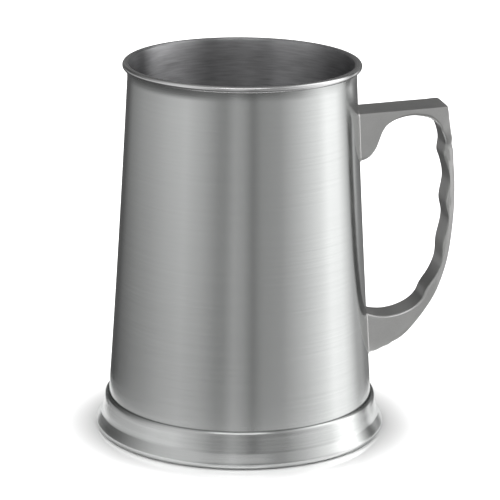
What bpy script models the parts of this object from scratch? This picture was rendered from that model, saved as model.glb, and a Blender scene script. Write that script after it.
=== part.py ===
"""A tapered metal tankard: rolled-rim body, inner bottom, flared foot, base plate and a cast loop handle.

Metres, +Z up. The origin is on the body's axis, at the middle of the resting face.
The handle stands out along +X, so XZ is the plane of symmetry.
"""

import math

import bmesh
import bpy
from mathutils import Vector

MM = 0.001

# Overall size
HEIGHT = 140.0 * MM
GAP = 0.3 * MM
ROUND_SEGMENTS = 64

# Body: one tapered sheet with a rolled bead round the rim
WALL = 0.8 * MM
BODY_TOP_RADIUS = 42.1 * MM
BODY_FOOT_RADIUS = 49.6 * MM
BODY_HOLLOW = 0.3 * MM  # how far the side curves inwards from a straight taper, halfway up
BODY_LOW_EDGE = 8.5 * MM
BEAD_RADIUS = 1.25 * MM
BEAD_CENTRE_RADIUS = 42.95 * MM
TAPER_STEPS = 5

# Foot: a spun skirt lapped over the body's lower edge, with a rolled bead to stand on
FOOT_HEIGHT = 13.0 * MM
FOOT_SHEET = 0.7 * MM
FOOT_LIP_HEIGHT = 1.6 * MM
FOOT_LIP_PROUD = 0.25 * MM
FOOT_SHOULDER = (0.5 * MM, 0.6 * MM)  # out from the neck and down from the lip
FOOT_SKIRT_FULLNESS = 0.45 * MM  # how far the skirt bulges from straight, halfway down
FOOT_SKIRT_LOW = (52.55 * MM, 5.2 * MM)
FOOT_ROLL_CENTRE_RADIUS = 52.65 * MM
FOOT_ROLL_RADIUS = 2.15 * MM
FOOT_OPENING_RADIUS = 49.3 * MM

# Cup bottom, its weld, and the plate that closes the underside
BOTTOM_HEIGHT = 13.4 * MM
BOTTOM_CORNER = 2.0 * MM
BOTTOM_CLEARANCE = 0.5 * MM
SEAM_WELD_RADIUS = 0.6 * MM
BASE_THICKNESS = 0.8 * MM

# Handle: a casting, broad and square at both ends, narrow and crowned along the grip
ARM_WIDTH = 15.6 * MM
GRIP_WIDTH = 12.6 * MM
EDGE_FILLET = 1.2 * MM
CROWN = 3.0 * MM
SQUARE_EDGE = 0.7 * MM
SQUARE_EXPONENT = 7.0  # of the outer edge's superellipse where it is square; 2 is an ellipse
EDGE_STEPS = 8
HANDLE_STEPS = 2  # slices from each pair of outline points to the next
HANDLE_WELD_RADIUS = 0.8 * MM
HANDLE_WELD_STEP = 3.0 * MM
UPPER_WELD_SPAN = (101.9 * MM, 120.3 * MM)
LOWER_WELD_SPAN = (26.0 * MM, 42.2 * MM)

# The handle's outline in the XZ plane, in millimetres: pairs of a point on the inside
# of the loop and the point across the metal from it, from the upper end to the lower.
UPPER_ARM = [
    ((42.0, 101.3), (41.0, 120.15)),
    ((46.8, 103.1), (46.0, 120.4)),
    ((49.4, 106.1), (49.6, 120.6)),
    ((50.7, 109.4), (52.0, 120.7)),
    ((51.8, 112.5), (54.0, 120.8)),
    ((53.7, 115.3), (56.4, 120.9)),
    ((57.6, 117.5), (60.0, 121.1)),
    ((63.2, 118.6), (65.2, 121.35)),
    ((68.8, 117.8), (71.6, 121.65)),
]
CORNER = [
    ((71.9, 116.1), (76.3, 121.9)),
    ((74.0, 114.2), (77.0, 120.8)),
    ((75.1, 112.0), (77.6, 117.0)),
    ((75.9, 109.7), (78.55, 112.2)),
    ((76.4, 107.0), (79.7, 108.2)),
]
GRIP = [
    ((76.0, 102.6), (80.9, 103.2)),
    ((77.4, 98.3), (81.2, 98.5)),
    ((78.55, 92.6), (81.7, 92.7)),
    ((77.3, 84.4), (81.9, 84.6)),
    ((78.45, 77.2), (81.65, 77.4)),
    ((76.6, 68.4), (80.85, 68.6)),
    ((76.2, 61.2), (79.6, 60.6)),
    ((73.9, 55.6), (77.6, 53.6)),
    ((70.6, 50.6), (75.0, 47.3)),
]
LOWER_ARM = [
    ((68.8, 46.8), (71.9, 42.3)),
    ((65.6, 43.8), (68.2, 37.4)),
    ((61.0, 41.7), (63.3, 32.0)),
    ((56.4, 40.8), (58.4, 28.9)),
    ((52.8, 40.9), (54.4, 28.4)),
    ((49.8, 41.5), (51.0, 26.9)),
    ((45.0, 43.2), (44.5, 25.7)),
]
# Places along the list of pairs: where the handle narrows, and where the crowned strip
# along its outer edge starts and ends.
CROWN_FIRST = len(UPPER_ARM) + len(CORNER) - 1
CROWN_LAST = CROWN_FIRST + len(GRIP) + 4.5
CROWN_BLEND = 0.5
NARROW_FIRST = CROWN_FIRST - 3.0
NARROW_LAST = CROWN_FIRST + 1.0


def clear_scene():
    for obj in list(bpy.data.objects):
        bpy.data.objects.remove(obj, do_unlink=True)


def make_material(name, color, roughness):
    material = bpy.data.materials.new(name)
    material.use_nodes = True
    shader = material.node_tree.nodes["Principled BSDF"]
    shader.inputs["Base Color"].default_value = (*color, 1.0)
    shader.inputs["Metallic"].default_value = 1.0
    shader.inputs["Roughness"].default_value = roughness
    return material


def add_object(name, mesh, material):
    obj = bpy.data.objects.new(name, mesh)
    mesh.materials.append(material)
    bpy.context.scene.collection.objects.link(obj)
    return obj


def mesh_from(bm, name):
    bmesh.ops.recalc_face_normals(bm, faces=bm.faces)
    mesh = bpy.data.meshes.new(name)
    bm.to_mesh(mesh)
    bm.free()
    mesh.shade_smooth()
    mesh.set_sharp_from_angle(angle=math.radians(35))
    return mesh


def turned(name, profile, material):
    """A closed ring or disc: profile is a closed outline of (radius, height) points."""
    bm = bmesh.new()
    points = [bm.verts.new((radius, 0.0, height)) for radius, height in profile]
    edges = [bm.edges.new(pair) for pair in zip(points, points[1:] + points[:1])]
    bmesh.ops.spin(
        bm,
        geom=points + edges,
        cent=(0.0, 0.0, 0.0),
        axis=(0.0, 0.0, 1.0),
        angle=math.tau,
        steps=ROUND_SEGMENTS,
        use_merge=True,
    )
    bmesh.ops.remove_doubles(bm, verts=bm.verts, dist=1e-6)
    loose = [edge for edge in bm.edges if not edge.link_faces]
    bmesh.ops.delete(bm, geom=loose, context="EDGES")
    return add_object(name, mesh_from(bm, name), material)


def arc(centre, radius, first, last, steps):
    """Points on an arc in the profile plane, angles in degrees from +radius towards +Z."""
    points = []
    for step in range(steps + 1):
        angle = math.radians(first + (last - first) * step / steps)
        points.append(
            (centre[0] + radius * math.cos(angle), centre[1] + radius * math.sin(angle))
        )
    return points


def body_radius(height):
    """The outside radius of the body at this height."""
    up = (height - FOOT_HEIGHT) / (HEIGHT - FOOT_HEIGHT)
    straight = BODY_FOOT_RADIUS + (BODY_TOP_RADIUS - BODY_FOOT_RADIUS) * up
    return straight - 4.0 * BODY_HOLLOW * up * (1.0 - up)


def heights(low, high):
    """Evenly spaced heights for the points of a tapered side."""
    return [low + (high - low) * step / TAPER_STEPS for step in range(TAPER_STEPS + 1)]


def make_body_wall(material):
    bead_height = HEIGHT - BEAD_RADIUS
    bead = arc((BEAD_CENTRE_RADIUS, bead_height), BEAD_RADIUS, 90, -132, 9)
    outside = [
        (body_radius(height), height)
        for height in reversed(heights(BODY_LOW_EDGE, bead_height - BEAD_RADIUS))
    ]
    inside = [
        (body_radius(height) - WALL, height)
        for height in heights(BODY_LOW_EDGE, bead_height - WALL)
    ]
    shoulder = [(body_radius(HEIGHT) - 0.5 * WALL, HEIGHT - 0.4 * BEAD_RADIUS)]
    return turned("body_wall", bead + outside + inside + shoulder, material)


def make_cup_bottom(material):
    """A pressed disc whose edge turns down inside the body."""
    outer = body_radius(BODY_LOW_EDGE) - WALL - BOTTOM_CLEARANCE
    reach = outer - BOTTOM_CORNER
    top = arc((reach, BOTTOM_HEIGHT - BOTTOM_CORNER), BOTTOM_CORNER, 90, 0, 4)
    under = arc((reach, BOTTOM_HEIGHT - BOTTOM_CORNER), BOTTOM_CORNER - WALL, 0, 90, 4)
    profile = [(0.0, BOTTOM_HEIGHT)] + top
    profile += [(outer, BODY_LOW_EDGE), (outer - WALL, BODY_LOW_EDGE)]
    profile += under + [(0.0, BOTTOM_HEIGHT - WALL)]
    return turned("cup_bottom", profile, material)


def make_bottom_seam_weld(material):
    """The bead that seals the cup bottom's flange to the body's lower edge."""
    centre = (
        body_radius(BODY_LOW_EDGE) - WALL,
        BODY_LOW_EDGE - GAP - SEAM_WELD_RADIUS,
    )
    profile = arc(centre, SEAM_WELD_RADIUS, 0, -300, 5)
    return turned("bottom_seam_weld", profile, material)


def foot_outline():
    """The foot's outer side, from its upper lip down to where it meets the table."""
    neck = body_radius(FOOT_HEIGHT) + GAP + FOOT_SHEET
    lip_foot = FOOT_HEIGHT - FOOT_LIP_HEIGHT
    lip = [
        (neck - 0.1 * MM, FOOT_HEIGHT),
        (neck + 0.8 * FOOT_LIP_PROUD, FOOT_HEIGHT - 0.25 * FOOT_LIP_HEIGHT),
        (neck + FOOT_LIP_PROUD, FOOT_HEIGHT - 0.6 * FOOT_LIP_HEIGHT),
        (neck + 0.8 * FOOT_LIP_PROUD, lip_foot),
    ]
    shoulder = (neck + FOOT_SHOULDER[0], lip_foot - FOOT_SHOULDER[1])
    middle_radius = 0.5 * (shoulder[0] + FOOT_SKIRT_LOW[0]) + FOOT_SKIRT_FULLNESS
    middle = (middle_radius, 0.5 * (shoulder[1] + FOOT_SKIRT_LOW[1]))
    skirt = [shoulder, middle, FOOT_SKIRT_LOW]
    roll = arc((FOOT_ROLL_CENTRE_RADIUS, FOOT_ROLL_RADIUS), FOOT_ROLL_RADIUS, 65, -90, 7)
    return lip + skirt + roll


def make_foot_ring(material):
    outside = foot_outline()
    roll_inside = arc(
        (FOOT_ROLL_CENTRE_RADIUS, FOOT_ROLL_RADIUS),
        FOOT_ROLL_RADIUS - FOOT_SHEET,
        -90,
        40,
        4,
    )
    skirt_low_radius, skirt_low_height = FOOT_SKIRT_LOW
    neck_inside = body_radius(FOOT_HEIGHT) + GAP
    shoulder_height = FOOT_HEIGHT - FOOT_LIP_HEIGHT - FOOT_SHOULDER[1]
    inside = [
        (FOOT_OPENING_RADIUS, 0.0),
        (FOOT_OPENING_RADIUS, FOOT_SHEET),
        *roll_inside,
        (skirt_low_radius - FOOT_SHEET, skirt_low_height),
        (neck_inside + FOOT_SHOULDER[0], shoulder_height),
        (body_radius(shoulder_height) + GAP, FOOT_HEIGHT - FOOT_LIP_HEIGHT),
        (neck_inside, FOOT_HEIGHT),
    ]
    return turned("foot_ring", outside + inside, material)


def make_base_plate(material):
    edge = FOOT_OPENING_RADIUS - GAP
    profile = [(0.0, BASE_THICKNESS), (edge, BASE_THICKNESS), (edge, 0.0), (0.0, 0.0)]
    return turned("base_plate", profile, material)


def smooth_between(before, start, end, after, share):
    """A Catmull-Rom spline's point between start and end."""
    pull = 0.5 * (end - before)
    push = 0.5 * (after - start)
    square, cube = share * share, share * share * share
    return (
        start * (2.0 * cube - 3.0 * square + 1.0)
        + pull * (cube - 2.0 * square + share)
        + end * (3.0 * square - 2.0 * cube)
        + push * (cube - square)
    )


def smooth_rail(points):
    """The points with HANDLE_STEPS - 1 more along a smooth curve between each two."""
    ends = [2.0 * points[0] - points[1]] + points + [2.0 * points[-1] - points[-2]]
    rail = []
    for index in range(len(points) - 1):
        before, start, end, after = ends[index : index + 4]
        for step in range(HANDLE_STEPS):
            rail.append(smooth_between(before, start, end, after, step / HANDLE_STEPS))
    rail.append(points[-1])
    return rail


def ramp(value, low, high):
    share = min(1.0, max(0.0, (value - low) / (high - low)))
    return share * share * (3.0 - 2.0 * share)


def handle_section(inner, outer, place):
    """One slice across the handle. place is its position along the list of pairs."""
    depth = (outer - inner).length
    across = (outer - inner) / depth
    narrow = ramp(place, NARROW_FIRST, NARROW_LAST)
    half = 0.5 * (ARM_WIDTH + (GRIP_WIDTH - ARM_WIDTH) * narrow)
    crowned = ramp(place, CROWN_FIRST - CROWN_BLEND, CROWN_FIRST + CROWN_BLEND)
    crowned *= 1.0 - ramp(place, CROWN_LAST - CROWN_BLEND, CROWN_LAST + CROWN_BLEND)
    crown = SQUARE_EDGE + (CROWN - SQUARE_EDGE) * crowned
    roundness = 2.0 / (SQUARE_EXPONENT + (2.0 - SQUARE_EXPONENT) * crowned)
    fillet = min(EDGE_FILLET, 0.8 * (depth - crown))
    flat = half - EDGE_FILLET
    bend = (0.3 * fillet, half - 0.3 * EDGE_FILLET)
    outline = [(fillet, -half), (bend[0], -bend[1]), (0.0, -flat)]
    outline += [(0.0, flat), bend, (fillet, half)]
    for step in range(EDGE_STEPS + 1):
        angle = math.pi * step / EDGE_STEPS
        side, rise = math.cos(angle), math.sin(angle)
        reach = math.copysign(abs(side) ** roundness, side)
        outline.append((depth - crown + crown * rise**roundness, half * reach))
    return [
        Vector((inner.x + across.x * out, side, inner.y + across.y * out))
        for out, side in outline
    ]


def make_handle(material, body_cutter):
    pairs = UPPER_ARM + CORNER + GRIP + LOWER_ARM
    inner_rail = smooth_rail([Vector(inner) * MM for inner, _ in pairs])
    outer_rail = smooth_rail([Vector(outer) * MM for _, outer in pairs])
    bm = bmesh.new()
    rings = []
    for index, (inner, outer) in enumerate(zip(inner_rail, outer_rail)):
        section = handle_section(inner, outer, index / HANDLE_STEPS)
        rings.append([bm.verts.new(point) for point in section])
    for ring, following in zip(rings, rings[1:]):
        for index, corner in enumerate(ring):
            previous = index - 1
            bm.faces.new((ring[previous], corner, following[index], following[previous]))
    bm.faces.new(rings[0])
    bm.faces.new(rings[-1])
    handle = add_object("handle", mesh_from(bm, "handle"), material)
    trim = handle.modifiers.new("fit_to_body", "BOOLEAN")
    trim.operation = "DIFFERENCE"
    trim.solver = "EXACT"
    trim.object = body_cutter
    return handle


def make_body_cutter(material):
    """The space the body fills, with a gap round it, for trimming the handle's ends."""
    profile = [(0.0, HEIGHT)]
    profile += [
        (body_radius(height) + GAP, height) for height in reversed(heights(0.0, HEIGHT))
    ]
    profile += [(0.0, 0.0)]
    cutter = turned("body_clearance", profile, material)
    cutter.hide_render = True
    cutter.display_type = "WIRE"
    return cutter


def make_handle_weld(name, span, width, material):
    """A bead laid on the body round one end of the handle; span is its two heights."""
    low, high = span
    stand = HANDLE_WELD_RADIUS + GAP
    half_width = 0.5 * width + stand
    half_height = 0.5 * (high - low) + stand
    middle = 0.5 * (low + high)
    corner = stand + EDGE_FILLET
    centres = [
        (half_width - corner, half_height - corner, 0),
        (corner - half_width, half_height - corner, 90),
        (corner - half_width, corner - half_height, 180),
        (half_width - corner, corner - half_height, 270),
    ]
    path = []
    for side, rise, first in centres:
        path += arc((side, middle + rise), corner, first, first + 90, 3)
    curve = bpy.data.curves.new(name, "CURVE")
    curve.dimensions = "3D"
    curve.bevel_depth = HANDLE_WELD_RADIUS
    curve.bevel_resolution = 1
    curve.materials.append(material)
    spline = curve.splines.new("POLY")
    dense = []
    for (side, rise), (next_side, next_rise) in zip(path, path[1:] + path[:1]):
        length = math.hypot(next_side - side, next_rise - rise)
        steps = max(1, round(length / HANDLE_WELD_STEP))
        for step in range(steps):
            share = step / steps
            dense.append(
                (side + (next_side - side) * share, rise + (next_rise - rise) * share)
            )
    spline.points.add(len(dense) - 1)
    for point, (side, rise) in zip(spline.points, dense):
        radius = body_radius(rise) + stand
        point.co = (math.sqrt(radius * radius - side * side), side, rise, 1.0)
    spline.use_cyclic_u = True
    weld = bpy.data.objects.new(name, curve)
    bpy.context.scene.collection.objects.link(weld)
    return weld


def main():
    clear_scene()
    brushed = make_material("brushed_body", (0.56, 0.57, 0.56), 0.32)
    spun = make_material("spun_foot", (0.56, 0.57, 0.56), 0.30)
    hidden = make_material("plain_sheet", (0.52, 0.53, 0.52), 0.42)
    cast = make_material("satin_casting", (0.50, 0.51, 0.49), 0.36)
    weld = make_material("dressed_weld", (0.62, 0.63, 0.62), 0.28)
    make_body_wall(brushed)
    make_cup_bottom(hidden)
    make_bottom_seam_weld(weld)
    make_foot_ring(spun)
    make_base_plate(hidden)
    make_handle(cast, make_body_cutter(hidden))
    make_handle_weld("upper_handle_weld", UPPER_WELD_SPAN, ARM_WIDTH, weld)
    make_handle_weld("lower_handle_weld", LOWER_WELD_SPAN, GRIP_WIDTH, weld)


main()
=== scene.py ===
"""Looks for the tankard: fine meshes, brushed and cast steel, a pale floor and a studio to reflect.

Metres, +Z up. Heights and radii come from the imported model's nodes; the handle stands out
along +X. Every piece is a finer copy of one CAD node and stands for it.
"""

import math

import bmesh
import bpy
from mathutils import Matrix, Vector


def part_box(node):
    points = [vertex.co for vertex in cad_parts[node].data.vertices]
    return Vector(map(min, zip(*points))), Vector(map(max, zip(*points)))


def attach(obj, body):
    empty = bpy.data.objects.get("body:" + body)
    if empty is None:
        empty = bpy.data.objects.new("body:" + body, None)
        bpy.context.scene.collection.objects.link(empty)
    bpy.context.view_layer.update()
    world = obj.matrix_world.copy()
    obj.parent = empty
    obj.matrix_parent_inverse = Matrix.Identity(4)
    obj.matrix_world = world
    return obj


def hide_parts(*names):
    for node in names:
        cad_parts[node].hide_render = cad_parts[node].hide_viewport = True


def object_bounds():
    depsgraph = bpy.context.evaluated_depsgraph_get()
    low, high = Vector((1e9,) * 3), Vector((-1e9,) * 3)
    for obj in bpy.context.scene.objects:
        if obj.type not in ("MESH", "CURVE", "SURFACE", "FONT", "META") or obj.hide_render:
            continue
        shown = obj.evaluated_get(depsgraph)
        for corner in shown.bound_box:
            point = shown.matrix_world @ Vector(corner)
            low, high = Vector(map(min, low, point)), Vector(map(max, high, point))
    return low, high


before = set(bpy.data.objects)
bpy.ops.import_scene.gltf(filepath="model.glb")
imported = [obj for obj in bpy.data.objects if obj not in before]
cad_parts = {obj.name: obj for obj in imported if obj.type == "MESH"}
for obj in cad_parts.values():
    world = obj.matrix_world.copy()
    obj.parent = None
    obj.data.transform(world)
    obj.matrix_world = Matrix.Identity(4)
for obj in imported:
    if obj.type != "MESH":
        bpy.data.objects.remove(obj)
cad_low, cad_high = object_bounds()

MM = 0.001
SEGMENTS = 256
SHARP_ANGLE = math.radians(40)

body_low, body_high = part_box("body_wall")
_, foot_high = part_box("foot_ring")
bottom_low, bottom_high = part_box("cup_bottom")
_, base_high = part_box("base_plate")

# Body
HEIGHT = body_high.z
FOOT_HEIGHT = foot_high.z
WALL = 0.8 * MM
BODY_TOP_RADIUS = 42.1 * MM
BODY_FOOT_RADIUS = 49.6 * MM
BODY_HOLLOW = 0.3 * MM  # how far the side curves inwards from a straight taper, halfway up
BODY_LOW_EDGE = body_low.z
BEAD_RADIUS = 1.25 * MM
BEAD_CENTRE = (42.95 * MM, HEIGHT - BEAD_RADIUS)
SIDE_STEPS = 24
NECK_FLARE = 0.48 * MM  # how far the side curves outwards as it meets the bead
NECK_LENGTH = 3.8 * MM
NECK_STEPS = 8

# Foot
FOOT_SHEET = 0.7 * MM
FOOT_NECK = 1.0 * MM  # from the body's surface out to the foot's upper edge
FOOT_RADIUS = foot_high.y - 0.1 * MM
FOOT_ROLL_RADIUS = 1.65 * MM
FOOT_ROLL_CENTRE = (FOOT_RADIUS - FOOT_ROLL_RADIUS, FOOT_ROLL_RADIUS)
FOOT_OPENING_RADIUS = base_high.y + 0.3 * MM
SKIRT_STEPS = 6

# Cup bottom and base plate
BOTTOM_CORNER = 2.0 * MM
BOTTOM_EDGE_RADIUS = bottom_high.y
SEAM_WELD_RADIUS = 0.6 * MM
GROOVE_DEPTH = 0.12 * MM
GROOVE_WIDTH = 1.2 * MM

# Handle
ARM_WIDTH = 15.6 * MM
GRIP_WIDTH = 12.6 * MM
EDGE_FILLET = 1.2 * MM
CROWN = 3.0 * MM
SQUARE_EDGE = 0.7 * MM
SQUARE_EXPONENT = 5.0  # of the outer edge's superellipse where it is square; 2 is an ellipse
FILLET_STEPS = 5
EDGE_STEPS = 20
FLAT_HOLD = 0.25 * MM  # an extra line of points this far in from a rounded edge keeps a flat flat
BEVEL_RISE = 1.2 * MM  # the flat bevel between the grip's side and its crowned back
BEVEL_INSET = 0.25 * MM
GROOVE_INSET = 0.05 * MM  # the fine line ground along the foot of that bevel
GROOVE_DROP = 0.35 * MM
CORNER_SKEW = 0.6 * MM  # how far the loop's upper corner is ground out of square
HANDLE_STEPS = 8
WELD_RADIUS = 0.5 * MM
WELD_SINK = 0.1 * MM
WELD_STAND = 0.15 * MM  # how far the bead's middle lies outside the handle's outline
WELD_RIPPLE = 0.05
WELD_RIPPLE_LENGTH = 1.7 * MM
UPPER_WELD_SPAN = (102.3 * MM, 119.9 * MM)
LOWER_WELD_SPAN = (26.4 * MM, 41.9 * MM)

# The handle's outline in the XZ plane, in millimetres, as in the CAD part: pairs of a point
# on the inside of the loop and the point across the metal from it, from the upper end down.
UPPER_ARM = [
    ((42.0, 101.3), (41.0, 120.15)),
    ((46.8, 103.1), (46.0, 120.4)),
    ((49.4, 106.1), (49.6, 120.6)),
    ((50.7, 109.4), (52.0, 120.7)),
    ((51.8, 112.5), (54.0, 120.8)),
    ((53.7, 115.3), (56.4, 120.9)),
    ((57.6, 117.5), (60.0, 121.1)),
    ((63.2, 118.6), (65.2, 121.35)),
    ((68.8, 117.8), (71.6, 121.65)),
]
CORNER = [
    ((71.9, 116.1), (76.3, 121.9)),
    ((74.0, 114.2), (77.0, 120.8)),
    ((75.1, 112.0), (77.6, 117.0)),
    ((75.9, 109.7), (78.55, 112.2)),
    ((76.4, 107.0), (79.7, 108.2)),
]
GRIP = [
    ((76.0, 102.6), (80.9, 103.2)),
    ((77.4, 98.3), (81.2, 98.5)),
    ((78.55, 92.6), (81.7, 92.7)),
    ((77.3, 84.4), (81.9, 84.6)),
    ((78.45, 77.2), (81.65, 77.4)),
    ((76.6, 68.4), (80.85, 68.6)),
    ((76.2, 61.2), (79.6, 60.6)),
    ((73.9, 55.6), (77.6, 53.6)),
    ((70.6, 50.6), (75.0, 47.3)),
]
LOWER_ARM = [
    ((68.8, 46.8), (71.9, 42.3)),
    ((65.6, 43.8), (68.2, 37.4)),
    ((61.0, 41.7), (63.3, 32.0)),
    ((56.4, 40.8), (58.4, 28.9)),
    ((52.8, 40.9), (54.4, 28.4)),
    ((49.8, 41.5), (51.0, 26.9)),
    ((45.0, 43.2), (44.5, 25.7)),
]
# Places along the list of pairs: where the crowned back starts and ends, where the corner is
# most out of square, and where the handle narrows.
CROWN_FIRST = len(UPPER_ARM) + len(CORNER) - 1
CROWN_LAST = CROWN_FIRST + len(GRIP) + 4.5
CROWN_BLEND = 0.5
CORNER_PLACE = CROWN_FIRST - 2.2
CORNER_REACH = 2.2
NARROW_FIRST = CROWN_FIRST - 3.0
NARROW_LAST = CROWN_FIRST + 1.0

# Camera
CAMERA_SIDE = math.radians(11.0)  # how far the camera stands to the left of straight ahead
CAMERA_DISTANCE = 1028.8 * MM
CAMERA_HEIGHT = 362.9 * MM
CAMERA_PAN = math.radians(0.192)
CAMERA_PITCH = math.radians(16.013)
CAMERA_ROLL = math.radians(0.506)
CAMERA_LENS = 205.5
SENSOR = 36.0

# Studio: the brightness round the object at five elevations, in degrees. Azimuth is 0
# towards the camera and positive to its right. These brightnesses are not a plain studio's
# and were not simply chosen by hand: most azimuths are places where the reference's tones were
# measured, the values were tuned to the ratio of those tones to the render's, and many are
# a solver's or close to it. Named softboxes should replace the list.
STUDIO_ELEVATIONS = (-30, -17, -6, 8, 34)
STUDIO = [
    # azimuth, then the brightness at each elevation
    (-180, 0.10, 0.15, 0.15, 0.15, 0.15),
    (-165, 0.08, 0.11, 0.12, 0.22, 0.22),
    (-150, 0.08, 0.10, 0.16, 0.09, 0.14),
    (-135, 0.10, 0.10, 0.56, 0.06, 0.15),
    (-112, 0.12, 0.12, 0.88, 0.18, 0.30),
    (-95, 0.12, 0.12, 1.04, 0.42, 0.50),
    (-75, 0.12, 0.11, 1.27, 0.78, 0.80),
    (-55, 0.14, 0.10, 1.45, 0.85, 0.90),
    (-38, 0.16, 0.30, 1.00, 0.65, 0.85),
    (-21, 0.18, 0.36, 0.50, 0.38, 0.50),
    (-15, 0.18, 0.38, 0.47, 0.38, 0.50),
    (-6, 0.22, 0.64, 0.61, 0.55, 0.65),
    (2, 0.20, 0.42, 0.68, 0.38, 0.50),
    (11, 0.14, 0.28, 0.39, 0.17, 0.40),
    (20, 0.18, 0.46, 0.54, 0.33, 0.42),
    (38, 0.22, 0.40, 0.76, 0.25, 0.45),
    (61, 0.45, 0.55, 1.30, 0.78, 0.85),
    (80, 0.90, 1.15, 1.50, 1.20, 1.40),
    (92, 1.30, 1.50, 1.86, 2.20, 2.00),
    (106, 1.20, 1.40, 1.75, 2.75, 2.25),
    (118, 1.00, 1.25, 0.95, 0.95, 0.70),
    (127, 0.60, 0.85, 0.50, 0.20, 0.20),
    (137, 0.30, 0.38, 1.45, 0.12, 0.15),
    (146, 0.20, 0.36, 0.30, 0.24, 0.18),
    (156, 0.15, 0.34, 0.05, 0.24, 0.20),
    (180, 0.10, 0.15, 0.15, 0.15, 0.15),
]
TOP_BOX = (46.0, 70.0, 0.35)  # elevations where the overhead softbox fades in, and its brightness
FRONT_BOX = (0.0, 34.0, 50.0, 66.0, 2.4)  # azimuth, half width, elevations and brightness
FRONT_BOX_BLUR = (12.0, 3.0, 4.0)  # of that box's sides, foot and head, in degrees each way
FLOOR_GLOW = (-44.0, -60.0, 0.25)  # elevations where the floor takes over below, and its brightness
FLOOR_LIGHT = 2.0
BACKDROP = 1.1
FLOOR_SIZE = 8.0
FLOOR_COLOR = (0.92, 0.92, 0.92, 1.0)
FLOOR_GAP = 0.1 * MM
MIRROR_REACH = 22.0 * MM  # how far past the foot the floor mirrors
MIRROR_SHARE = 0.65
MIRROR_COLOR = (0.98, 0.98, 0.98, 1.0)
MIRROR_ROUGHNESS = 0.12
NEAR_FLOOR_RADIUS = 80.0 * MM  # of the ring round the foot that the metal itself reflects


# Meshes


def add_piece(name, mesh, materials):
    piece = bpy.data.objects.new(name, mesh)
    for material in materials:
        mesh.materials.append(material)
    bpy.context.scene.collection.objects.link(piece)
    return piece


def finish_mesh(bm, name):
    bmesh.ops.recalc_face_normals(bm, faces=bm.faces)
    mesh = bpy.data.meshes.new(name)
    bm.to_mesh(mesh)
    bm.free()
    mesh.shade_smooth()
    mesh.set_sharp_from_angle(angle=SHARP_ANGLE)
    return mesh


def turned(name, stretches, materials):
    """A closed ring or disc. stretches are (material number, [(radius, height), ...])."""
    bm = bmesh.new()
    rings = []
    finishes = []
    for finish, points in stretches:
        for radius, height in points:
            if radius == 0.0:
                ring = [bm.verts.new((0.0, 0.0, height))] * SEGMENTS
            else:
                ring = [
                    bm.verts.new((radius * math.cos(turn), radius * math.sin(turn), height))
                    for turn in (math.tau * step / SEGMENTS for step in range(SEGMENTS))
                ]
            rings.append(ring)
            finishes.append(finish)
    for index, ring in enumerate(rings):
        following = rings[(index + 1) % len(rings)]
        for step in range(SEGMENTS):
            beside = (step + 1) % SEGMENTS
            corners = [ring[step], ring[beside], following[beside], following[step]]
            corners = list(dict.fromkeys(corners))
            if len(corners) > 2:
                bm.faces.new(corners).material_index = finishes[index]
    return add_piece(name, finish_mesh(bm, name), materials)


def arc(centre, radius, first, last, steps):
    """Points on an arc in the profile plane, angles in degrees from +radius towards +Z."""
    points = []
    for step in range(steps + 1):
        angle = math.radians(first + (last - first) * step / steps)
        points.append(
            (centre[0] + radius * math.cos(angle), centre[1] + radius * math.sin(angle))
        )
    return points


def smooth_between(before, start, end, after, share):
    """A Catmull-Rom spline's point between start and end."""
    pull = 0.5 * (end - before)
    push = 0.5 * (after - start)
    square, cube = share * share, share * share * share
    return (
        start * (2.0 * cube - 3.0 * square + 1.0)
        + pull * (cube - 2.0 * square + share)
        + end * (3.0 * square - 2.0 * cube)
        + push * (cube - square)
    )


def smooth_rail(points, steps):
    """The points with steps - 1 more along a smooth curve between each two."""
    ends = [2.0 * points[0] - points[1]] + points + [2.0 * points[-1] - points[-2]]
    rail = []
    for index in range(len(points) - 1):
        before, start, end, after = ends[index : index + 4]
        for step in range(steps):
            rail.append(smooth_between(before, start, end, after, step / steps))
    rail.append(points[-1])
    return rail


def ramp(value, low, high):
    share = min(1.0, max(0.0, (value - low) / (high - low)))
    return share * share * (3.0 - 2.0 * share)


def body_radius(height):
    """The outside radius of the body at this height."""
    up = (height - FOOT_HEIGHT) / (HEIGHT - FOOT_HEIGHT)
    straight = BODY_FOOT_RADIUS + (BODY_TOP_RADIUS - BODY_FOOT_RADIUS) * up
    return straight - 4.0 * BODY_HOLLOW * up * (1.0 - up)


def heights(low, high):
    return [low + (high - low) * step / SIDE_STEPS for step in range(SIDE_STEPS + 1)]


def make_body(outside_finish, inside_finish, bead_finish):
    """The tapered sheet, with its edge rolled outwards into a bead round the rim."""
    neck = BEAD_CENTRE[1] - 1.05 * BEAD_RADIUS
    bead = arc(BEAD_CENTRE, BEAD_RADIUS, 118, -130, 30)
    outside = []
    for step in range(NECK_STEPS):
        rise = 1.0 - step / NECK_STEPS
        z = neck - NECK_LENGTH * (1.0 - rise)
        outside.append((body_radius(z) + NECK_FLARE * rise * rise, z))
    below = reversed(heights(BODY_LOW_EDGE, neck - NECK_LENGTH))
    outside += [(body_radius(z), z) for z in below]
    inside_top = BEAD_CENTRE[1] - WALL
    inside = [(body_radius(z) - WALL, z) for z in heights(BODY_LOW_EDGE, inside_top)]
    shoulder = [(body_radius(HEIGHT) - 0.62 * WALL, HEIGHT - 0.55 * BEAD_RADIUS)]
    stretches = [(2, bead), (0, outside), (1, inside + shoulder)]
    return turned("body_shell", stretches, [outside_finish, inside_finish, bead_finish])


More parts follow.
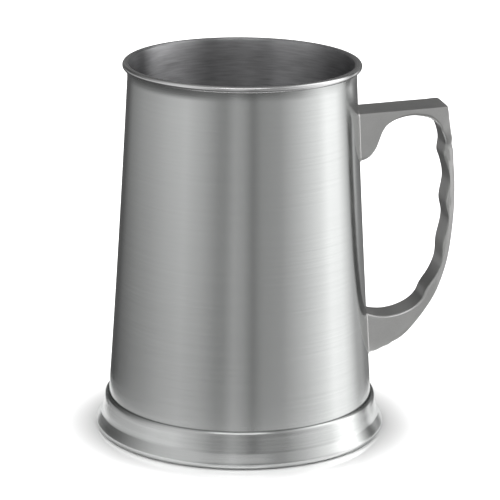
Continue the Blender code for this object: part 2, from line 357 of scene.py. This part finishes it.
def make_bottom(finish):
    """The pressed cup bottom, with a shallow raised ring and its edge turned down."""
    reach = BOTTOM_EDGE_RADIUS - BOTTOM_CORNER
    top_height = bottom_high.z
    corner = (reach, top_height - BOTTOM_CORNER)
    dish = [
        Vector((0.30 * reach, top_height)),
        Vector((0.42 * reach, top_height - 0.10 * MM)),
        Vector((0.80 * reach, top_height - 0.10 * MM)),
        Vector((0.90 * reach, top_height)),
    ]
    top = [(0.0, top_height), (0.15 * reach, top_height)]
    top += [tuple(point) for point in smooth_rail(dish, SKIRT_STEPS)]
    top += arc(corner, BOTTOM_CORNER, 90, 0, 10)
    under = arc(corner, BOTTOM_CORNER - WALL, 0, 90, 10)
    edge = [(BOTTOM_EDGE_RADIUS, bottom_low.z), (BOTTOM_EDGE_RADIUS - WALL, bottom_low.z)]
    profile = top + edge + under + [(0.0, top_height - WALL)]
    return turned("cup_floor", [(0, profile)], [finish])


def make_seam_weld(finish):
    """The bead between the cup bottom's flange and the body's lower edge."""
    _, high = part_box("bottom_seam_weld")
    centre = (high.y - SEAM_WELD_RADIUS, high.z - SEAM_WELD_RADIUS)
    profile = arc(centre, SEAM_WELD_RADIUS, 0, -345, 23)
    return turned("seam_weld", [(0, profile)], [finish])


def make_foot(finish):
    """The spun foot: a bevelled shoulder, a flared skirt and a roll to stand on."""
    neck = body_radius(FOOT_HEIGHT) + FOOT_NECK
    lip = [
        (neck - 0.50 * MM, FOOT_HEIGHT - 0.05 * MM),
        (neck - 0.38 * MM, FOOT_HEIGHT),
        (neck - 0.25 * MM, FOOT_HEIGHT - 0.08 * MM),
        (neck + 0.20 * MM, FOOT_HEIGHT - 0.58 * MM),
        (neck + 0.50 * MM, FOOT_HEIGHT - 1.30 * MM),
    ]
    roll = arc(FOOT_ROLL_CENTRE, FOOT_ROLL_RADIUS, 30, -90, 24)
    skirt = [
        (neck + 0.72 * MM, 10.9 * MM),
        (neck + 0.90 * MM, 10.1 * MM),
        (52.02 * MM, 8.0 * MM),
        (52.55 * MM, 5.9 * MM),
        (53.0 * MM, 4.95 * MM),
    ]
    points = [Vector(point) for point in lip + skirt + roll[:1]]
    outside = [tuple(point) for point in smooth_rail(points, SKIRT_STEPS)][:-1]
    roll_inside = arc(FOOT_ROLL_CENTRE, FOOT_ROLL_RADIUS - FOOT_SHEET, -90, 40, 14)
    inside = [
        (FOOT_OPENING_RADIUS, 0.0),
        (FOOT_OPENING_RADIUS, FOOT_SHEET),
        *roll_inside,
        (51.75 * MM, 5.2 * MM),
        (neck - FOOT_SHEET + 0.5 * MM, 10.4 * MM),
        (body_radius(FOOT_HEIGHT - 1.6 * MM) + 0.1 * MM, FOOT_HEIGHT - 1.6 * MM),
        (body_radius(FOOT_HEIGHT - 0.4 * MM) + 0.1 * MM, FOOT_HEIGHT - 0.4 * MM),
    ]
    return turned("foot", [(0, outside + roll + inside)], [finish])


def make_base(finish):
    """The closing plate, with three shallow pressed rings in its underside."""
    edge = base_high.y
    chamfer = 0.15 * MM
    profile = [(0.0, base_high.z), (edge - chamfer, base_high.z), (edge, base_high.z - chamfer)]
    profile += [(edge, chamfer), (edge - chamfer, 0.0)]
    for share in (0.86, 0.55, 0.24):
        middle = share * edge
        profile += [
            (middle + 0.5 * GROOVE_WIDTH, 0.0),
            (middle + 0.2 * GROOVE_WIDTH, GROOVE_DEPTH),
            (middle - 0.2 * GROOVE_WIDTH, GROOVE_DEPTH),
            (middle - 0.5 * GROOVE_WIDTH, 0.0),
        ]
    profile.append((0.0, 0.0))
    return turned("base", [(0, profile)], [finish])


def square_edge(half, rise):
    """(out, side) points over a flat back with tightly rounded edges, from side to side."""
    points = []
    for step in range(EDGE_STEPS + 1):
        angle = math.pi * step / EDGE_STEPS
        out, side = math.sin(angle), math.cos(angle)
        reach = math.copysign(abs(side) ** (2.0 / SQUARE_EXPONENT), side)
        points.append((rise * out ** (2.0 / SQUARE_EXPONENT), half * reach))
    return points


def crowned_edge(half, rise):
    """(out, side) points over a bowed back with a bevel along each edge, from side to side."""
    bevel = min(BEVEL_RISE, 0.5 * rise)
    shoulder = half - BEVEL_INSET
    start = [(0.0, half), (0.5 * bevel, half - 0.5 * BEVEL_INSET), (bevel, shoulder)]
    steps = EDGE_STEPS - 2 * len(start)
    bow = []
    for step in range(steps + 1):
        share = 1.0 - 2.0 * (step + 0.5) / (steps + 1)
        bow.append((bevel + (rise - bevel) * (1.0 - share * share), shoulder * share))
    return start + bow + [(out, -side) for out, side in reversed(start)]


def handle_section(inner, outer, place):
    """One slice across the handle. place is its position along the list of pairs."""
    depth = (outer - inner).length
    across = (outer - inner) / depth
    narrow = ramp(place, NARROW_FIRST, NARROW_LAST)
    half = 0.5 * (ARM_WIDTH + (GRIP_WIDTH - ARM_WIDTH) * narrow)
    crowned = ramp(place, CROWN_FIRST - CROWN_BLEND, CROWN_FIRST + CROWN_BLEND)
    crowned *= 1.0 - ramp(place, CROWN_LAST - CROWN_BLEND, CROWN_LAST + CROWN_BLEND)
    crown = SQUARE_EDGE + (CROWN - SQUARE_EDGE) * crowned
    fillet = min(EDGE_FILLET, 0.8 * (depth - crown))
    skew = CORNER_SKEW * max(0.0, 1.0 - abs(place - CORNER_PLACE) / CORNER_REACH)
    near_side = []
    for step in range(FILLET_STEPS + 1):
        angle = 0.5 * math.pi * step / FILLET_STEPS
        rise = fillet * (1.0 - math.sin(angle))
        near_side.append((rise, half - EDGE_FILLET * (1.0 - math.cos(angle))))
    flat_edge = near_side[-1][1] - FLAT_HOLD
    side_room = depth - crown - fillet
    hold = min(FLAT_HOLD + (GROOVE_DROP - FLAT_HOLD) * crowned, 0.25 * side_room)
    near_side = [(fillet + hold, half)] + near_side + [(0.0, flat_edge)]
    outline = [(out - skew * side / half, -side) for out, side in near_side]
    outline += [(out + skew * side / half, side) for out, side in reversed(near_side)]
    outline.append((depth - crown - hold, half - GROOVE_INSET * crowned))
    square = square_edge(half, crown)
    back = crowned_edge(half, crown)
    outline += [
        (depth - crown + flat[0] + (bowed[0] - flat[0]) * crowned,
         flat[1] + (bowed[1] - flat[1]) * crowned)
        for flat, bowed in zip(square, back)
    ]
    outline.append((depth - crown - hold, GROOVE_INSET * crowned - half))
    return [
        Vector((inner.x + across.x * out, side, inner.y + across.y * out))
        for out, side in outline
    ]


def inside_body(point):
    return math.hypot(point.x, point.y) < body_radius(point.z)


def onto_body(point):
    """The point moved along X to just under the body's surface."""
    radius = body_radius(point.z) - WELD_SINK
    return Vector((math.sqrt(radius * radius - point.y * point.y), point.y, point.z))


def handle_sections():
    pairs = UPPER_ARM + CORNER + GRIP + LOWER_ARM
    inner_rail = smooth_rail([Vector(inner) * MM for inner, _ in pairs], HANDLE_STEPS)
    outer_rail = smooth_rail([Vector(outer) * MM for _, outer in pairs], HANDLE_STEPS)
    sections = [
        handle_section(inner, outer, index / HANDLE_STEPS)
        for index, (inner, outer) in enumerate(zip(inner_rail, outer_rail))
    ]
    clear = [
        index
        for index, section in enumerate(sections)
        if not any(inside_body(point) for point in section)
    ]
    first, last = clear[0], clear[-1]
    upper_end = [onto_body(point) for point in sections[first - 1]]
    lower_end = [onto_body(point) for point in sections[last + 1]]
    return [upper_end] + sections[first : last + 1] + [lower_end]


def make_handle(finish):
    bm = bmesh.new()
    rings = [[bm.verts.new(point) for point in section] for section in handle_sections()]
    for ring, following in zip(rings, rings[1:]):
        for index, corner in enumerate(ring):
            previous = index - 1
            bm.faces.new((ring[previous], corner, following[index], following[previous]))
    bm.faces.new(rings[0])
    bm.faces.new(rings[-1])
    return add_piece("cast_handle", finish_mesh(bm, "cast_handle"), [finish])


def make_handle_weld(name, span, width, finish):
    """A rippled bead laid on the body round one end of the handle; span is its two heights."""
    low, high = span
    stand = WELD_STAND
    half_width = 0.5 * width + stand
    half_height = 0.5 * (high - low) + stand
    middle = 0.5 * (low + high)
    corner = stand + EDGE_FILLET
    centres = [
        (half_width - corner, half_height - corner, 0),
        (corner - half_width, half_height - corner, 90),
        (corner - half_width, corner - half_height, 180),
        (half_width - corner, corner - half_height, 270),
    ]
    path = []
    for side, rise, first in centres:
        path += arc((side, middle + rise), corner, first, first + 90, 8)
    curve = bpy.data.curves.new(name, "CURVE")
    curve.dimensions = "3D"
    curve.bevel_depth = WELD_RADIUS
    curve.bevel_resolution = 4
    curve.materials.append(finish)
    bead = curve.splines.new("POLY")
    dense = []
    for (side, rise), (next_side, next_rise) in zip(path, path[1:] + path[:1]):
        length = math.hypot(next_side - side, next_rise - rise)
        steps = max(1, round(length / (0.25 * WELD_RIPPLE_LENGTH)))
        for step in range(steps):
            share = step / steps
            dense.append(
                (side + (next_side - side) * share, rise + (next_rise - rise) * share)
            )
    bead.points.add(len(dense) - 1)
    along = 0.0
    before = dense[-1]
    for point, (side, rise) in zip(bead.points, dense):
        along += math.hypot(side - before[0], rise - before[1])
        before = (side, rise)
        radius = body_radius(rise) + WELD_SINK
        point.co = (math.sqrt(radius * radius - side * side), side, rise, 1.0)
        point.radius = 1.0 + WELD_RIPPLE * math.sin(math.tau * along / WELD_RIPPLE_LENGTH)
    bead.use_cyclic_u = True
    weld = bpy.data.objects.new(name, curve)
    bpy.context.scene.collection.objects.link(weld)
    return weld


# Materials


class Shader:
    """Adds nodes to one node tree and links them."""

    def __init__(self, tree):
        self.tree = tree

    def node(self, kind, **settings):
        made = self.tree.nodes.new(kind)
        for name, value in settings.items():
            setattr(made, name, value)
        return made

    def feed(self, socket, value):
        """Sets the socket to a number, a vector or a colour, or links it to another socket."""
        if isinstance(value, bpy.types.NodeSocket):
            self.tree.links.new(value, socket)
        else:
            socket.default_value = value

    def math(self, operation, first, second=0.0):
        made = self.node("ShaderNodeMath", operation=operation)
        self.feed(made.inputs[0], first)
        self.feed(made.inputs[1], second)
        return made.outputs[0]

    def spread(self, value, low, high, to_low, to_high, smooth=False):
        """The value mapped from one range onto another, and held at its ends."""
        made = self.node("ShaderNodeMapRange")
        if smooth:
            made.interpolation_type = "SMOOTHSTEP"
        for name, given in (
            ("Value", value),
            ("From Min", low),
            ("From Max", high),
            ("To Min", to_low),
            ("To Max", to_high),
        ):
            self.feed(made.inputs[name], given)
        return made.outputs["Result"]

    def noise(self, vector, detail, scale=1.0):
        made = self.node("ShaderNodeTexNoise")
        self.feed(made.inputs["Vector"], vector)
        self.feed(made.inputs["Scale"], scale)
        self.feed(made.inputs["Detail"], detail)
        return made.outputs["Fac"]

    def mix(self, share, first, second):
        made = self.node("ShaderNodeMix", data_type="FLOAT")
        self.feed(made.inputs[0], share)
        self.feed(made.inputs[2], first)
        self.feed(made.inputs[3], second)
        return made.outputs[0]

    def tint(self, share, first, second):
        made = self.node("ShaderNodeMix", data_type="RGBA")
        self.feed(made.inputs["Factor"], share)
        self.feed(made.inputs["A"], (*first, 1.0))
        self.feed(made.inputs["B"], (*second, 1.0))
        return made.outputs["Result"]


def new_metal(name):
    """A metallic Principled material; returns it, its helper and its shader node."""
    material = bpy.data.materials.new(name)
    material.use_nodes = True
    shader = material.node_tree.nodes["Principled BSDF"]
    shader.inputs["Metallic"].default_value = 1.0
    return material, Shader(material.node_tree), shader


def object_coordinates(make):
    """(x, y, z and distance from the axis) of the point being shaded, in metres."""
    coordinates = make.node("ShaderNodeTexCoord").outputs["Object"]
    parts = make.node("ShaderNodeSeparateXYZ")
    make.feed(parts.inputs[0], coordinates)
    x, y, z = parts.outputs
    squares = make.math("ADD", make.math("MULTIPLY", x, x), make.math("MULTIPLY", y, y))
    return coordinates, x, y, z, make.math("SQRT", squares)


def turning_lines(make, per_metre, length):
    """Noise drawn out round the axis into lines of about this length, per_metre across."""
    _, x, y, z, radius = object_coordinates(make)
    vector = make.node("ShaderNodeCombineXYZ")
    make.feed(vector.inputs[0], make.math("MULTIPLY", x, 1.0 / length))
    make.feed(vector.inputs[1], make.math("MULTIPLY", y, 1.0 / length))
    profile = make.math("SUBTRACT", z, radius)
    make.feed(vector.inputs[2], make.math("MULTIPLY", profile, per_metre))
    return make.noise(vector.outputs[0], 3.0)


def brushed_steel(name, dark, light, roughness, grain, depth, stretch, stroke=28 * MM):
    """Steel brushed round its axis in strokes of this length.

    dark and light are the colour's range, and roughness is a range. grain is the share of
    coarse lines, depth the scratches' in metres, and stretch the anisotropy.
    """
    material, make, shader = new_metal(name)
    fine = turning_lines(make, 5200.0, stroke)
    coarse = turning_lines(make, 1300.0, 1.6 * stroke)
    lines = make.mix(grain, fine, coarse)
    haze = make.noise(object_coordinates(make)[0], 2.0, 26.0)
    wear = make.mix(0.25, lines, haze)
    shade = make.spread(wear, 0.32, 0.68, 0.0, 1.0)
    make.feed(shader.inputs["Base Color"], make.tint(shade, dark, light))
    dull = make.spread(wear, 0.30, 0.70, *roughness)
    make.feed(shader.inputs["Roughness"], dull)
    bump = make.node("ShaderNodeBump")
    bump.inputs["Strength"].default_value = 1.0
    bump.inputs["Distance"].default_value = depth
    make.feed(bump.inputs["Height"], lines)
    make.feed(shader.inputs["Normal"], bump.outputs["Normal"])
    shader.inputs["Anisotropic"].default_value = stretch
    shader.inputs["Anisotropic Rotation"].default_value = 0.25
    tangent = make.node("ShaderNodeTangent", direction_type="RADIAL", axis="Z")
    make.feed(shader.inputs["Tangent"], tangent.outputs[0])
    return material


def cast_steel(name, dark, light, roughness, depth):
    """Satin cast steel: a fine blasted grain under soft uneven polishing."""
    material, make, shader = new_metal(name)
    coordinates = object_coordinates(make)[0]
    grain = make.noise(coordinates, 4.0, 2600.0)
    polish = make.noise(coordinates, 3.0, 90.0)
    mottle = make.mix(0.6, grain, polish)
    shade = make.spread(mottle, 0.35, 0.65, 0.0, 1.0)
    make.feed(shader.inputs["Base Color"], make.tint(shade, dark, light))
    make.feed(shader.inputs["Roughness"], make.spread(mottle, 0.3, 0.7, *roughness))
    bump = make.node("ShaderNodeBump")
    bump.inputs["Strength"].default_value = 1.0
    bump.inputs["Distance"].default_value = depth
    make.feed(bump.inputs["Height"], grain)
    make.feed(shader.inputs["Normal"], bump.outputs["Normal"])
    return material


# Studio


def ring_of_light(make, azimuth, column):
    """The brightness at this azimuth, in degrees, from one column of the studio's list."""
    highest = max(row[column] for row in STUDIO)
    ramp_node = make.node("ShaderNodeValToRGB")
    make.feed(ramp_node.inputs[0], make.spread(azimuth, -180.0, 180.0, 0.0, 1.0))
    elements = ramp_node.color_ramp.elements
    elements.remove(elements[-1])
    for index, row in enumerate(STUDIO):
        place = (row[0] + 180.0) / 360.0
        element = elements[0] if index == 0 else elements.new(place)
        element.position = place
        level = row[column] / highest
        element.color = (level, level, level, 1.0)
    return make.math("MULTIPLY", ramp_node.outputs["Color"], highest)


def make_world():
    """White round the camera's view and over the floor; softboxes and cards for the metal."""
    world = bpy.data.worlds.new("studio")
    bpy.context.scene.world = world
    world.use_nodes = True
    world.cycles.sampling_method = "NONE"
    make = Shader(world.node_tree)
    background = world.node_tree.nodes["Background"]
    turned_round = make.node("ShaderNodeVectorRotate", rotation_type="Z_AXIS")
    direction = make.node("ShaderNodeTexCoord").outputs["Generated"]
    make.feed(turned_round.inputs["Vector"], direction)
    make.feed(turned_round.inputs["Angle"], CAMERA_SIDE)
    parts = make.node("ShaderNodeSeparateXYZ")
    make.feed(parts.inputs[0], turned_round.outputs[0])
    right, ahead, up = parts.outputs
    towards = make.math("MULTIPLY", ahead, -1.0)
    azimuth = make.math("DEGREES", make.math("ARCTAN2", right, towards))
    elevation = make.math("DEGREES", make.math("ARCSINE", up))
    ring = ring_of_light(make, azimuth, 1)
    for level in range(1, len(STUDIO_ELEVATIONS)):
        below, above = STUDIO_ELEVATIONS[level - 1 : level + 1]
        share = make.spread(elevation, below, above, 0.0, 1.0)
        ring = make.mix(share, ring, ring_of_light(make, azimuth, level + 1))
    box_low, box_high, box_brightness = TOP_BOX
    overhead = make.spread(elevation, box_low, box_high, 0.0, 1.0, smooth=True)
    ring = make.mix(overhead, ring, box_brightness)
    glow_high, glow_low, glow_brightness = FLOOR_GLOW
    below = make.spread(elevation, glow_low, glow_high, 1.0, 0.0, smooth=True)
    ring = make.mix(below, ring, glow_brightness)
    box_azimuth, box_half, box_foot, box_head, front_brightness = FRONT_BOX
    aside = make.math("ABSOLUTE", make.math("SUBTRACT", azimuth, box_azimuth))
    side_blur, foot_blur, head_blur = FRONT_BOX_BLUR
    across = make.spread(aside, box_half - side_blur, box_half + side_blur, 1.0, 0.0, smooth=True)
    rising = make.spread(elevation, box_foot - foot_blur, box_foot + foot_blur, 0.0, 1.0, smooth=True)
    falling = make.spread(elevation, box_head - head_blur, box_head + head_blur, 1.0, 0.0, smooth=True)
    front = make.math("MULTIPLY", across, make.math("MULTIPLY", rising, falling))
    ring = make.mix(front, ring, front_brightness)
    path = make.node("ShaderNodeLightPath").outputs
    lit = make.mix(path["Is Diffuse Ray"], ring, FLOOR_LIGHT)
    seen = make.mix(path["Is Camera Ray"], lit, BACKDROP)
    make.feed(background.inputs["Strength"], seen)
    background.inputs["Color"].default_value = (1.0, 1.0, 1.0, 1.0)


def make_floor():
    """A pale sheet that mirrors faintly where the foot stands, and is clear from below."""
    mesh = bpy.data.meshes.new("floor")
    half = 0.5 * FLOOR_SIZE
    corners = [(-half, -half, 0.0), (half, -half, 0.0), (half, half, 0.0), (-half, half, 0.0)]
    mesh.from_pydata(corners, [], [(0, 1, 2, 3)])
    material = bpy.data.materials.new("pale_floor")
    material.use_nodes = True
    material.node_tree.nodes.clear()
    make = Shader(material.node_tree)
    away = object_coordinates(make)[4]
    near = FOOT_ROLL_CENTRE[0]
    share = make.spread(away, near, near + MIRROR_REACH, MIRROR_SHARE, 0.0)
    matt = make.node("ShaderNodeBsdfDiffuse")
    matt.inputs["Color"].default_value = FLOOR_COLOR
    mirror = make.node("ShaderNodeBsdfGlossy")
    mirror.inputs["Roughness"].default_value = MIRROR_ROUGHNESS
    mirror.inputs["Color"].default_value = MIRROR_COLOR
    top = make.node("ShaderNodeMixShader")
    make.feed(top.inputs[0], share)
    make.feed(top.inputs[1], matt.outputs[0])
    make.feed(top.inputs[2], mirror.outputs[0])
    both = make.node("ShaderNodeMixShader")
    make.feed(both.inputs[0], make.node("ShaderNodeNewGeometry").outputs["Backfacing"])
    make.feed(both.inputs[1], top.outputs[0])
    make.feed(both.inputs[2], make.node("ShaderNodeBsdfTransparent").outputs[0])
    surface = make.node("ShaderNodeOutputMaterial")
    make.feed(surface.inputs["Surface"], both.outputs[0])
    floor = add_piece("floor", mesh, [material])
    floor.location.z = cad_low.z - FLOOR_GAP
    floor.visible_glossy = False
    ring = bpy.data.meshes.new("near_floor")
    turns = [math.tau * step / SEGMENTS for step in range(SEGMENTS)]
    corners = [
        (radius * math.cos(turn), radius * math.sin(turn), 0.0)
        for radius in (near, NEAR_FLOOR_RADIUS)
        for turn in turns
    ]
    faces = []
    for index in range(SEGMENTS):
        following = (index + 1) % SEGMENTS
        faces.append((index, SEGMENTS + index, SEGMENTS + following, following))
    ring.from_pydata(corners, [], faces)
    near_floor = add_piece("near_floor", ring, [material])
    near_floor.location.z = cad_low.z - 0.5 * FLOOR_GAP


def make_camera():
    data = bpy.data.cameras.new("camera")
    data.lens = CAMERA_LENS
    data.sensor_width = SENSOR
    camera = bpy.data.objects.new("camera", data)
    bpy.context.scene.collection.objects.link(camera)
    turn = Matrix.Rotation(-(CAMERA_SIDE + CAMERA_PAN), 4, "Z")
    tip = Matrix.Rotation(0.5 * math.pi - CAMERA_PITCH, 4, "X")
    roll = Matrix.Rotation(CAMERA_ROLL, 4, "Z")
    place = Matrix.Translation(
        (
            -CAMERA_DISTANCE * math.sin(CAMERA_SIDE),
            -CAMERA_DISTANCE * math.cos(CAMERA_SIDE),
            CAMERA_HEIGHT,
        )
    )
    camera.matrix_world = place @ turn @ tip @ roll
    bpy.context.scene.camera = camera


def stand_for(piece, node):
    """The piece rides on the one body and hides the CAD node."""
    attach(piece, "root")
    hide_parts(node)


def main():
    outside = brushed_steel(
        "brushed_outside", (0.49, 0.50, 0.495), (0.55, 0.56, 0.555), (0.17, 0.21), 0.35,
        0.0006 * MM, 0.95,
    )
    inside = brushed_steel(
        "brushed_inside", (0.38, 0.38, 0.39), (0.60, 0.60, 0.61), (0.30, 0.40), 0.7,
        0.02 * MM, 1.0, stroke=5 * MM,
    )
    spun = brushed_steel(
        "spun_foot", (0.50, 0.51, 0.505), (0.56, 0.57, 0.565), (0.17, 0.21), 0.35, 0.001 * MM, 0.9
    )
    bead = brushed_steel(
        "buffed_bead", (0.58, 0.58, 0.58), (0.64, 0.64, 0.64), (0.16, 0.22), 0.35, 0.001 * MM, 0.4
    )
    turned_sheet = brushed_steel(
        "turned_sheet", (0.46, 0.46, 0.46), (0.56, 0.56, 0.56), (0.30, 0.42), 0.6, 0.012 * MM, 0.6
    )
    cast = cast_steel("satin_casting", (0.60, 0.60, 0.59), (0.68, 0.68, 0.67), (0.30, 0.38), 0.004 * MM)
    dressed = cast_steel("dressed_weld", (0.62, 0.62, 0.61), (0.70, 0.70, 0.69), (0.34, 0.42), 0.002 * MM)

    stand_for(make_body(outside, inside, bead), "body_wall")
    stand_for(make_bottom(turned_sheet), "cup_bottom")
    stand_for(make_seam_weld(dressed), "bottom_seam_weld")
    stand_for(make_foot(spun), "foot_ring")
    stand_for(make_base(turned_sheet), "base_plate")
    stand_for(make_handle(cast), "handle")
    upper = make_handle_weld("upper_weld_bead", UPPER_WELD_SPAN, ARM_WIDTH, dressed)
    stand_for(upper, "upper_handle_weld")
    lower = make_handle_weld("lower_weld_bead", LOWER_WELD_SPAN, GRIP_WIDTH, dressed)
    stand_for(lower, "lower_handle_weld")

    make_floor()
    make_world()
    make_camera()
    bpy.context.scene.view_settings.view_transform = "Standard"


main()
